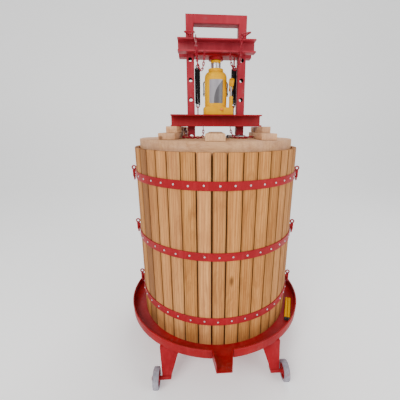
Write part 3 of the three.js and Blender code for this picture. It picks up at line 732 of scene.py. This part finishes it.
def make_latch_pin(level, name, side):
    node = f"latch_pin_{level}_{name}"
    box = cad(node)
    x = side * LATCH_X
    shape = Shape()
    shank, collar = 0.0055, HOOP_Z[level] - 0.0007 - box.z0
    lathe(shape, [(0.0022, 0), (0.0046, 0.004), (shank, 0.007), (shank, collar), (0.0082, collar),
                  (0.0086, collar + 0.0008), (0.0086, collar + 0.002), (shank, collar + 0.003),
                  (0.004, collar + 0.0045)], (x, 0, box.z0), UP, 20)
    torus(shape, (x, 0, HOOP_Z[level] + 0.0133), Vector((0.1 * side, 1, 0)), 0.0101, 0.0043)
    piece(f"{node}_ringed", shape, FADED_RED, node, [node], turn=TURN_TO_SIDE)


for half_name, half_middle in HALVES:
    make_basket_half(half_name, half_middle)
for level_name in HOOP_Z:
    for side_name, side_sign in SIDES:
        make_latch_pin(level_name, side_name, side_sign)


# ---- Tray, legs, base beam ----
def make_tray():
    box = cad("tray")
    floor, rim, under = box.z0 + 0.004, box.z1, box.z0
    wall, outer = 0.513, box.x1
    shape = Shape()
    lathe(shape, [(0.0005, 0), (wall, 0), (wall + 0.0012, 0.0015), (wall + 0.0012, 0.0035), (wall, 0.004),
                  (0.0005, 0.004)], (0, 0, under), UP, 160)
    bead = 0.0042
    bead_r, bead_z = outer - bead, rim - bead
    section = [(wall, under + 0.002), (wall + 0.0025, under + 0.0002), (wall + 0.004, under + 0.002),
               (wall + 0.004, bead_z - bead * 0.9)]
    turns = 10
    for i in range(turns + 1):
        a = radians(-60 + 290 * i / turns)
        section.append((bead_r + bead * cos(a), bead_z + bead * sin(a)))
    section += [(wall, bead_z - bead * 1.1)]
    half = 0.0515
    opening = asin(half / wall)
    steps = 200
    rings = []
    for i in range(steps + 1):
        a = opening + (2 * pi - 2 * opening) * i / steps
        rings.append([around(r, a, z) for r, z in section])
    shape.add_rings(rings)
    end = box.y0
    root = -sqrt(wall ** 2 - half ** 2) + 0.006
    tip_half = 0.037
    sheet = 0.004
    rings = []
    for i in range(9):
        t = i / 8
        y = root + (end - root) * t
        w = half + (tip_half - half) * t
        top = rim - 0.0008 - 0.0012 * sin(pi * t)
        right = [(w - 0.002, y, under), (w, y, under + 0.002), (w, y, top - 0.001), (w - 0.001, y, top),
                 (w - sheet + 0.001, y, top), (w - sheet, y, top - 0.001), (w - sheet, y, floor + 0.001)]
        left = mirrored(right)
        rings.append([Vector(p) for p in left[4:] + right + left[:4]])
    shape.add_rings(rings)
    piece("tray_pan", shape, TRAY_RED, "frame", ["tray"])
    welds = Shape()
    for side in (-1, 1):
        path = [Vector((side * (half + 0.0012), root - 0.004, under + 0.004 + (rim - under - 0.012) * i / 12))
                + Vector((random.uniform(-6e-4, 6e-4), random.uniform(-6e-4, 6e-4), 0)) for i in range(13)]
        bent_rod(welds, path, 0.0026, 10)
    piece("spout_welds", welds, TRAY_RED, "frame")


make_tray()
for side_name, _ in SIDES:
    refined(f"leg_front_{side_name}", RED, 0.0013)
    refined(f"leg_rear_{side_name}", RED, 0.0013)
refined("base_beam", RED, 0.0016)


# ---- Wheels ----
def make_wheel(name):
    box = cad(f"wheel_{name}")
    centre = Vector((box.xm, box.ym, box.zm))
    radius = (box.z1 - box.z0) / 2
    half = (box.x1 - box.x0) / 2
    edge = 0.005
    rim = 0.037
    profile = [(rim, -half + 0.001), (radius - 0.007, -half), (radius - 0.002, -half + 0.0018),
               (radius, -half + edge)]
    profile += [(r, -h) for r, h in reversed(profile)]
    turned(f"wheel_{name}_tread", profile, TYRE_RUBBER, f"wheel_{name}", [f"wheel_{name}"], centre, RIGHT,
           closed=True)
    hub = Shape()
    web = 0.0035
    profile = [(0.0093, -half + 0.001), (0.0125, -half + 0.001), (0.014, -half + 0.003), (0.0155, -web),
               (0.024, -web - 0.001), (0.030, -web), (0.0335, -half + 0.004), (0.0368, -half + 0.003)]
    profile += [(r, -h) for r, h in reversed(profile)]
    lathe(hub, profile, centre, RIGHT, 56, closed=True)
    for i in range(4):
        a = pi / 4 + i * pi / 2
        spot = centre + Vector((0, cos(a), sin(a))) * 0.0235
        rod(hub, spot - RIGHT * (web + 0.003), spot + RIGHT * (web + 0.003), 0.003, 6)
    piece(f"wheel_{name}_hub", hub, RED, f"wheel_{name}")


for side_name, _ in SIDES:
    make_wheel(side_name)


# ---- Yoke, crosshead and lower beam ----
HOLES = SimpleNamespace(radius=0.010, pitch=0.095, count=10, top=cad("yoke").z1 - 0.107)


def tube_section(half_u, half_y, corner, cell, steps):
    """A rounded rectangle whose front and back flats carry a grid of points for the holes."""
    flat = [cell * (2 * i / steps - 1) for i in range(steps + 1)]
    arcs = []
    for quarter, (u, y) in enumerate(((1, -1), (1, 1), (-1, 1), (-1, -1))):
        turns = [pi / 2 * (quarter - 1 + i / 3) for i in range(4)]
        at_u, at_y = u * (half_u - corner), y * (half_y - corner)
        arcs.append([(at_u + corner * cos(a), at_y + corner * sin(a)) for a in turns])
    front = [(u, -half_y) for u in flat]
    back = [(-u, half_y) for u in flat]
    return front + arcs[0] + arcs[1] + back + arcs[2] + arcs[3]


def make_yoke():
    """A frame of box section with mitred top corners; its uprights are drilled front and back."""
    box = cad("yoke")
    half_u, half_y, wall, corner = 0.020, box.y1 - box.ym, 0.005, 0.0035
    centre_x, bar_z = box.x1 - half_u, box.z1 - half_u
    cell, steps = 0.013, 6
    levels, starts = [box.z0], []
    for i in reversed(range(HOLES.count)):
        starts.append(len(levels))
        levels += [HOLES.top - i * HOLES.pitch + cell * (2 * k / steps - 1) for k in range(steps + 1)]
    stations = 2 * len(levels) + 2
    skins = [tube_section(half_u, half_y, corner, cell, steps),
             tube_section(half_u - wall, half_y - wall, 0.001, cell, steps)]
    per_ring = len(skins[0])

    def ring(station, section):
        side = -1 if station <= len(levels) else 1
        level = station if side < 0 else stations - 1 - station
        return [Vector((side * (centre_x + u), y, levels[level] if level < len(levels) else bar_z + u))
                for u, y in section]

    def index(skin, station, column):
        return (skin * stations + station) * per_ring + column % per_ring

    points = [p for section in skins for station in range(stations) for p in ring(station, section)]
    firsts = starts + [stations - 1 - start - steps for start in starts]
    flats = (0, per_ring // 2)
    drilled = {(first + k, flat + j) for first in firsts for flat in flats
               for k in range(steps) for j in range(steps)}
    outside, inside = (
        [(index(skin, s, c), index(skin, s, c + 1), index(skin, s + 1, c + 1), index(skin, s + 1, c))
         for s in range(stations - 1) for c in range(per_ring) if (s, c) not in drilled]
        for skin in (0, 1))
    inside += [(index(0, s, c), index(0, s, c + 1), index(1, s, c + 1), index(1, s, c))
               for s in (0, stations - 1) for c in range(per_ring)]
    rim = [(0, j) for j in range(steps)] + [(k, steps) for k in range(steps)]
    rim += [(steps - k, steps - j) for k, j in rim]
    turns = len(rim)
    for first in firsts:
        for flat in flats:
            circles = []
            for skin, faces in ((0, outside), (1, inside)):
                square = [index(skin, first + k, flat + j) for k, j in rim]
                middle = sum((points[i] for i in square), Vector()) / turns
                bore = list(range(len(points), len(points) + turns))
                points += [middle + (points[i] - middle).normalized() * HOLES.radius for i in square]
                faces.extend((square[i - 1], square[i], bore[i], bore[i - 1]) for i in range(turns))
                circles.append(bore)
            near, far = circles
            inside += [(near[i - 1], near[i], far[i], far[i - 1]) for i in range(turns)]
    shape = Shape()
    shape.add(points, outside + inside)
    yoke = piece("yoke_frame", shape, FADED_RED, "frame", ["yoke"])
    yoke.data.materials.append(MILL_SCALE)
    for polygon in yoke.data.polygons[len(outside):]:
        polygon.material_index = 1


make_yoke()
for level_name, paint in (("upper", FADED_RED), ("lower", RED)):
    for half_name, _ in HALVES:
        refined(f"{level_name}_channel_{half_name}", paint, 0.0012)
refined("pressure_plate", RED, 0.0009)
for side_name, _ in SIDES:
    refined(f"lower_spacer_{side_name}", RED, 0.0009)


# ---- Return springs ----
def make_spring(name):
    node = f"return_spring_{name}"
    box = cad(node)
    wire = 0.0024
    radius = (box.x1 - box.x0) / 2 - wire
    bottom, top = box.z0 + 0.021, box.z1 - 0.0185
    turns = 34
    shape = Shape()
    path = []
    steps = turns * 18
    for i in range(steps + 1):
        t = i / steps
        a = 2 * pi * turns * t
        path.append(Vector((box.xm + radius * cos(a), box.ym + radius * sin(a),
                            bottom + (top - bottom) * t)))
    bent_rod(shape, path, wire, 7)
    for z, r, end in ((box.z0 + 0.011, 0.009, bottom), (box.z1 - 0.0095, 0.0075, top)):
        torus(shape, (box.xm, box.ym, z), (0, 1, 0), r, wire, 28, 8)
        hook = [(box.xm + radius, box.ym, end), (box.xm + radius * 0.8, box.ym, (end + z) / 2),
                (box.xm + r * 0.9, box.ym, z + (end - z) * 0.25)]
        bent_rod(shape, smooth_path(hook, 5), wire, 8)
    spring = piece(f"{node}_coil", shape, SPRING_BLACK, None)
    start, end = (Vector((box.xm, box.ym, z)) + TO_ROW for z in (top, bottom))
    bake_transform(spring)
    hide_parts(node)


for side_name, _ in SIDES:
    make_spring(side_name)


# ---- Bottle jack ----
refined("jack_base", YELLOW, 0.0018, 3)
refined("handle_socket", YELLOW, 0.0006)
refined("pump_piston", STEEL, 0.0005)


def make_jack():
    body = cad("jack_body")
    radius = body.x1
    base, top = body.z0, body.z1
    ram = cad("jack_ram")
    saddle = cad("jack_saddle")
    shoulder, neck_z = base + 0.1457, base + 0.1757
    neck = 0.0395
    bore = ram.x1 + 0.0005
    profile = [(0.0005, base), (radius - 0.0015, base), (radius, base + 0.0015), (radius, base + 0.006),
               (radius - 0.0012, base + 0.0072), (radius - 0.0012, base + 0.0088), (radius, base + 0.01),
               (radius, shoulder)]
    steps = 9
    for i in range(1, steps + 1):
        a = i / steps * pi / 2
        profile.append((neck + (radius - neck) * cos(a), shoulder + (neck_z - shoulder) * sin(a)))
    profile += [(neck, neck_z + 0.001), (neck - 0.0012, neck_z + 0.002), (neck - 0.0012, neck_z + 0.0035),
                (neck, neck_z + 0.0045), (neck, top - 0.0016), (neck - 0.0016, top), (bore + 0.0012, top),
                (bore, top - 0.0012), (bore, base + 0.011), (0.0005, base + 0.011)]
    turned("jack_reservoir", profile, YELLOW, "head", ["jack_body"], sides=96)
    low = Vector((-0.036, 0, base + 0.0207))
    high = Vector((0.033, 0, base + 0.1357))
    label = Shape()
    columns, corner, lift = 28, 0.004, 0.0005
    from_a, to_a = asin(low.x / radius), asin(high.x / radius)
    rings = []
    for i in range(columns + 1):
        a = from_a + (to_a - from_a) * i / columns
        inset = min(i, columns - i) / columns * (to_a - from_a) * radius
        cut = corner - sqrt(max(0.0, corner ** 2 - (corner - inset) ** 2)) if inset < corner else 0.0
        rings.append([around(radius - 0.0003, a, low.z + cut), around(radius + lift, a, low.z + cut),
                      around(radius + lift, a, high.z - cut), around(radius - 0.0003, a, high.z - cut)])
    label.add_rings(rings)
    piece("jack_label", label, label_print("label_print", low + TO_ROW, high + TO_ROW), "head")
    r = ram.x1
    profile = [(0.0005, ram.z0), (r - 0.002, ram.z0), (r, ram.z0 + 0.002), (r, ram.z1 - 0.001),
               (r - 0.001, ram.z1), (0.0005, ram.z1)]
    turned("jack_ram_turned", profile, STEEL, "ram", ["jack_ram"])
    r, z0, z1 = saddle.x1, saddle.z0, saddle.z1
    profile = [(0.0005, z0), (r - 0.001, z0), (r, z0 + 0.001), (r, z0 + 0.004), (r - 0.0015, z0 + 0.0055),
               (r - 0.0015, z0 + 0.007), (r, z0 + 0.0085), (r, z1 - 0.0012), (r - 0.0012, z1),
               (r - 0.006, z1), (r - 0.007, z1 - 0.001), (r - 0.008, z1), (r - 0.012, z1),
               (r - 0.013, z1 - 0.001), (r - 0.014, z1), (0.0005, z1)]
    turned("jack_saddle_turned", profile, YELLOW, "ram", ["jack_saddle"])


def make_pump():
    box = cad("pump_cylinder")
    r = (box.x1 - box.x0) / 2
    bore = 0.005
    shape = Shape()
    lathe(shape, [(0.0005, box.z0), (r, box.z0), (r, box.z1 - 0.016), (r - 0.0012, box.z1 - 0.0148),
                  (r - 0.0012, box.z1 - 0.0008), (r - 0.002, box.z1), (bore, box.z1), (bore, box.z0 + 0.0078),
                  (0.0005, box.z0 + 0.0078)], (box.xm, box.ym, 0), sides=40)
    nut_z0, nut_z1 = box.z1 - 0.015, box.z1 - 0.004
    lathe(shape, [(r - 0.0016, nut_z0), (r + 0.0006, nut_z0), (r + 0.0016, nut_z0 + 0.001),
                  (r + 0.0016, nut_z1 - 0.001), (r + 0.0006, nut_z1), (r - 0.0016, nut_z1)],
          (box.xm, box.ym, 0), sides=6, closed=True)
    piece("pump_barrel", shape, YELLOW, "head", ["pump_cylinder"])


def make_release_valve():
    box = cad("release_valve")
    shape = Shape()
    radius = (box.x1 - box.x0) / 2
    lobes, per_lobe = 9, 6
    rings = []
    profile = ((0, 0.72), (0.0012, 0.93), (0.0026, 1.0), (0.0095, 1.0), (0.0108, 0.9), (0.0112, 0.55),
               (0.0137, 0.55))
    for depth, share in profile:
        ring = []
        for i in range(lobes * per_lobe):
            a = 2 * pi * i / (lobes * per_lobe)
            wave = 1 - 0.07 * (0.5 + 0.5 * cos(lobes * a)) * (share > 0.6)
            r = radius * share * wave
            ring.append(Vector((box.xm + r * cos(a), box.y0, box.zm + r * sin(a))) + BACK * depth)
        rings.append(ring)
    shape.add_rings(rings)
    piece("release_knob", shape, ORANGE_PLASTIC, "release_valve", ["release_valve"])


def make_carry_handle():
    box = cad("carry_handle")
    wire = 0.0032
    x = box.x1 - wire
    low = box.z0
    path = [(-x, 0.006, low), (-x, 0.006, low + 0.038), (-x, 0.010, low + 0.068),
            (-x + 0.012, 0.040, low + 0.080), (-0.024, 0.066, low + 0.082)]
    path += mirrored(path)
    shape = Shape()
    bent_rod(shape, smooth_path(path, 8), wire, 14)
    for side in (-1, 1):
        ends = [(side * (x + out), 0.006, low + 0.012) for out in (-0.0033, 0.0045)]
        rod(shape, *ends, 0.0055, 20)
    piece("carry_handle_bent", shape, BLACK_PLASTIC, "head", ["carry_handle"])


make_jack()
make_pump()
make_release_valve()
make_carry_handle()

# ---- Pressing disc, battens and blocks ----
DISC = SimpleNamespace(radius=0.411, z0=cad("press_disc_front").z0, z1=cad("press_disc_front").z1,
                       slot_x=(0.098, 0.168), slot_y=0.050, joints=(0.0, 0.104, 0.216, 0.326, 0.411))
BATTEN_Z = (cad("batten_centre").z0, cad("batten_centre").z1)
BLOCK_Z = (cad("block_left_front").z0, cad("block_left_front").z1)
BATTENS = {
    "left_front": (-0.264, -0.186, -0.275, 0.085), "left_rear": (-0.264, -0.186, 0.125, 0.320),
    "centre": (-0.042, 0.042, -0.405, 0.400), "right": (0.210, 0.280, -0.290, 0.187),
}
BLOCKS = {
    "left_front": (-0.236, -0.183, -0.223, 0.084), "left_rear": (-0.236, -0.183, 0.127, 0.320),
    "right_front": (0.222, 0.262, -0.223, 0.120), "right_rear": (0.222, 0.262, 0.145, 0.185),
}


def disc_plank(near, far, facing):
    """The outline of a disc plank between two distances from the middle joint."""
    reach = DISC.radius
    steps = 14

    def arc(side):
        low, high = asin(near / reach), asin(min(1.0, far / reach))
        turns = [low + (high - low) * i / steps for i in range(steps + 1)]
        return [(side * reach * cos(a), facing * reach * sin(a)) for a in turns]

    inner = []
    if near == 0:
        a, b = DISC.slot_x
        y = facing * DISC.slot_y
        start = facing * 0.0002
        inner = [(-b, start), (-b, y), (-a, y), (-a, start), (a, start), (a, y), (b, y), (b, start)]
    return list(reversed(arc(-1))) + inner + arc(1)


def make_disc(half):
    facing = -1 if half == "front" else 1
    shape = Shape()
    for near, far in zip(DISC.joints, DISC.joints[1:]):
        gap = 0.0007
        outline = disc_plank(near + (gap if near else 0), far - gap, facing)
        top = DISC.z1 - random.uniform(0, 0.0012)
        bottom = DISC.z0 + random.uniform(0, 0.001)
        points = [Vector((x, y, z)) for z in (bottom, top) for x, y in outline]
        middle = Vector((0, facing * (near + far) / 2, DISC.z0))
        grain = plank_marks(points, RIGHT, BACK, middle)
        tone = (random.uniform(0.45, 0.75), random.uniform(0, 0.18), 0)
        prism(shape, outline, bottom, top, grain=grain, tone=tone)
    piece(f"disc_planks_{half}", shape, PLANK_OAK, "press_stack", [f"press_disc_{half}"], bevel=0.0022,
          turn=TURN_TO_SIDE)


def make_timber(node, bounds, heights):
    """A sawn batten: its arrises are eased and its sides wander a little along its length."""
    x0, x1, y0, y1 = bounds
    z0, z1 = heights
    shape = Shape()
    rings = []
    steps = max(4, int((y1 - y0) / 0.04))
    for i in range(steps + 1):
        y = y0 + (y1 - y0) * i / steps
        wander = [random.uniform(0, 0.0006) for _ in range(3)]
        left, right, top = x0 + wander[0], x1 - wander[1], z1 - wander[2]
        rings.append([Vector(p) for p in ((left, y, z0), (right, y, z0), (right, y, top), (left, y, top))])
    points = [p for ring in rings for p in ring]
    middle = Vector(((x0 + x1) / 2, (y0 + y1) / 2, z0))
    grain = plank_marks(points, BACK, RIGHT, middle)
    tone = (random.uniform(0.4, 0.85), random.uniform(0, 0.15), 0)
    shape.add_rings(rings, grain=grain, tone=tone)
    piece(f"{node}_sawn", shape, PLANK_OAK, "press_stack", [node], bevel=0.0024, turn=TURN_TO_SIDE)


for half_name, _ in HALVES:
    make_disc(half_name)
for timber_name, timber_bounds in BATTENS.items():
    make_timber(f"batten_{timber_name}", timber_bounds, BATTEN_Z)
for timber_name, timber_bounds in BLOCKS.items():
    make_timber(f"block_{timber_name}", timber_bounds, BLOCK_Z)


# ---- Pins with bent-rod handles ----
HANDLE = SimpleNamespace(length=0.045, half=0.0225, wire=0.0033)


def make_pin(node, body, radius, length, turn, plated):
    """A pin that lies along -Y from its tip, with a three-sided handle of bent rod at its end."""
    tip, edge = 0.012, 0.0015
    down = Vector((0, -1, 0))
    if plated:
        profile = [(radius - 0.0006, tip), (radius, tip + 0.0006)]
    else:
        profile = [(radius * 0.45, 0), (radius * 0.8, 0.0015), (radius, 0.006)]
    profile += [(radius, length - edge), (radius - edge, length)]
    material = STEEL if plated else FADED_RED
    turned(f"{node}_shank", profile, material, body, [node], axis=down, sides=32, turn=turn)
    if plated:
        profile = [(radius * 0.5, 0), (radius * 0.85, 0.0012), (radius + 0.0006, 0.004),
                   (radius + 0.0006, tip - 0.0005), (radius, tip)]
        turned(f"{node}_cap", profile, BLACK_PLASTIC, body, axis=down, sides=32, turn=turn)
    handle = Shape()
    near, far = -(length - 0.004), -(length + HANDLE.length - HANDLE.wire)
    half = HANDLE.half
    bend = near + (far - near) * 0.55
    arm = [(0.003, near, 0), (half * 0.6, bend, 0), (half, far + 0.006, 0), (half - 0.005, far, 0)]
    corners = arm + [(0, far - 0.0004, 0)] + mirrored(arm)
    bent_rod(handle, smooth_path(corners, 6), HANDLE.wire, 14)
    piece(f"{node}_handle", handle, CHAIN_RED, body, turn=turn)


def make_upper_pin(name, side):
    node = f"upper_pin_{name}"
    tip_y, end_y = 0.040, -0.080
    radius = 0.009
    roll = Matrix.Rotation(radians(-12), 4, "Y") if side > 0 else Matrix.Identity(4)
    turn = Matrix.Translation((side * 0.133, tip_y, HOLES.top)) @ roll
    make_pin(node, node, radius, tip_y - end_y, turn, False)


def make_loose_pin(name, tip, end):
    along = (Vector(end) - Vector(tip)).normalized()
    across = -UP.cross(along).normalized()
    basis = Matrix((across, -along, -across.cross(along))).transposed().to_4x4()
    turn = Matrix.Translation(tip) @ basis
    make_pin(f"lower_pin_{name}", "press_stack", 0.008, 0.112, turn, True)


for side_name, side_sign in SIDES:
    make_upper_pin(side_name, side_sign)
make_loose_pin("left", (-0.170, 0.042, 1.263), (-0.160, -0.068, 1.232))
make_loose_pin("right", (0.060, -0.024, 1.2238), (0.152, -0.088, 1.2238))

# ---- Chains ----
# Routes in millimetres, from the fixed end to the pin.
CHAINS = {
    "upper_chain_left": [(-63, -84, 1621), (-65, -86, 1590), (-71, -87, 1555), (-81, -88, 1544),
                         (-92, -88, 1558), (-100, -89, 1595), (-103, -90, 1640), (-104, -91, 1690)],
    "upper_chain_right": [(63, -84, 1621), (67, -86, 1590), (77, -87, 1558), (89, -88, 1549),
                          (103, -88, 1562), (114, -89, 1594), (118, -90, 1636), (117, -91, 1678)],
    "lower_chain_left": [(-71, -84, 1271), (-71, -85, 1248), (-74, -88, 1228), (-86, -96, 1220.5),
                         (-104, -106, 1220), (-128, -112, 1220)],
    "lower_chain_right": [(71, -84, 1271), (76, -86, 1250), (86, -92, 1230), (102, -104, 1220.5),
                          (126, -118, 1220), (150, -124, 1220)],
}
LINK = SimpleNamespace(length=0.022, width=0.0125, wire=0.0021)


def add_link(shape, centre, along, side):
    """One welded link: a stadium of round wire, in the plane of along and side."""
    bend = LINK.width / 2 - LINK.wire
    straight = LINK.length / 2 - LINK.width / 2
    path = []
    for end, start in ((1, -pi / 2), (-1, pi / 2)):
        for i in range(7):
            a = start + pi * i / 6
            path.append(centre + along * (end * straight + bend * cos(a)) + side * (bend * sin(a)))
    bent_rod(shape, path, LINK.wire, 8, closed=True)


def make_chain(node):
    dense = smooth_path([Vector(p) / 1000 for p in CHAINS[node]], 40)
    pitch = LINK.length - 4 * LINK.wire + 0.0004
    shape = Shape()
    travelled, due, count = 0.0, pitch / 2, 0
    side = None
    for a, b in zip(dense, dense[1:]):
        step = (b - a).length
        while travelled + step >= due:
            along = (b - a).normalized()
            side = square_to(along)[0] if side is None else (side - along * side.dot(along)).normalized()
            other = along.cross(side)
            lean = radians(random.uniform(-12, 12)) + (pi / 2 if count % 2 else 0)
            facing = side * cos(lean) + other * sin(lean)
            add_link(shape, a + along * (due - travelled), along, facing)
            due += pitch
            count += 1
        travelled += step
    if node.startswith("upper"):
        chain = piece(f"{node}_links", shape, CHAIN_RED, None)
        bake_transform(chain)
        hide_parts(node)
    else:
        piece(f"{node}_links", shape, CHAIN_RED, "press_stack", [node])


for chain_node in CHAINS:
    make_chain(chain_node)


# ---- The jack's two operating rods, laid in the tray ----
def make_jack_rod(name, step):
    node = f"jack_rod_{name}"
    z = cad(node).zm
    front, back = Vector((0.396, -0.304, z)), Vector((0.469, -0.117, z))
    side = Vector((back.y - front.y, front.x - back.x, 0)).normalized()
    shift = side * (-0.017 * step)
    along = (back - front).normalized()
    radius = 0.008
    cap = 0.016
    shape = Shape()
    rod(shape, front + shift + along * cap, back + shift - along * 0.001, radius, 28)
    piece(f"{node}_bar", shape, YELLOW, node, [node])
    profile = [(radius * 0.6, 0), (radius * 0.95, 0.0012), (radius + 0.0004, 0.004), (radius + 0.0004, cap),
               (radius - 0.001, cap + 0.001)]
    turned(f"{node}_grip", profile, BLACK_PLASTIC, node, centre=front + shift, axis=along, sides=28)


make_jack_rod("outer", 0)
make_jack_rod("inner", 1)
